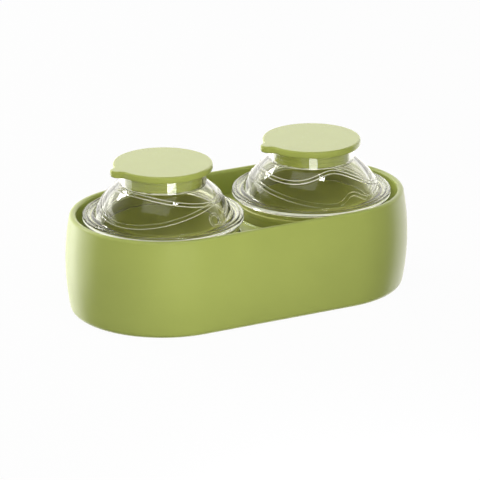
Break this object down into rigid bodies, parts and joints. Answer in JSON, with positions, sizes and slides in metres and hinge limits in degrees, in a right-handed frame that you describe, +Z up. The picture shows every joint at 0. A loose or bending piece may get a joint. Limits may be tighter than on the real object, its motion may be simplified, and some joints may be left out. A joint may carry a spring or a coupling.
{
  "type": "ice ball mould",
  "caption": "Oval freezer tub with a lift-out tray for round ice moulds, each a green bowl and a clear domed half pushed together over a seal and filled through a pull-tab stopper.",
  "frame": {"origin": "centre of the tub's footprint, on the surface that it stands on", "axes": "+X along the tub through both moulds, +Z up, the way the pieces lift out; the bare front faces -Y"},
  "size_m": [0.1684, 0.0904, 0.0707],
  "materials": {
    "tub_plastic": "satin moulded leaf green",
    "tray_plastic": "satin moulded leaf green",
    "bowl_plastic": "satin moulded leaf green",
    "clear_plastic": "clear polished plastic",
    "stopper_silicone": "matte silicone, leaf green",
    "seal_silicone": "translucent silicone"
  },
  "bodies": {
    "tub": {"tub_shell": "tub_plastic"},
    "tray": {"mould_tray": "tray_plastic"},
    "left_lower_half": {"left_bowl": "bowl_plastic", "left_seal": "seal_silicone"},
    "left_upper_half": {"left_dome": "clear_plastic"},
    "left_cap": {"left_stopper": "stopper_silicone"},
    "right_lower_half": {"right_bowl": "bowl_plastic", "right_seal": "seal_silicone"},
    "right_upper_half": {"right_dome": "clear_plastic"},
    "right_cap": {"right_stopper": "stopper_silicone"}
  },
  "joints": [
    {"name": "tray_lift", "type": "slide", "parent": "tub", "child": "tray", "axis": [0, 0, 1], "range_m": [0, 0.05]},
    {"name": "left_bowl_lift", "type": "slide", "parent": "tray", "child": "left_lower_half", "axis": [0, 0, 1], "range_m": [0, 0.05]},
    {"name": "left_dome_lift", "type": "slide", "parent": "left_lower_half", "child": "left_upper_half", "axis": [0, 0, 1], "range_m": [0, 0.035]},
    {"name": "left_stopper_pull", "type": "slide", "parent": "left_upper_half", "child": "left_cap", "axis": [0, 0, 1], "range_m": [0, 0.025]},
    {"name": "right_bowl_lift", "type": "slide", "parent": "tray", "child": "right_lower_half", "axis": [0, 0, 1], "range_m": [0, 0.05]},
    {"name": "right_dome_lift", "type": "slide", "parent": "right_lower_half", "child": "right_upper_half", "axis": [0, 0, 1], "range_m": [0, 0.035]},
    {"name": "right_stopper_pull", "type": "slide", "parent": "right_upper_half", "child": "right_cap", "axis": [0, 0, 1], "range_m": [0, 0.025]}
  ]
}
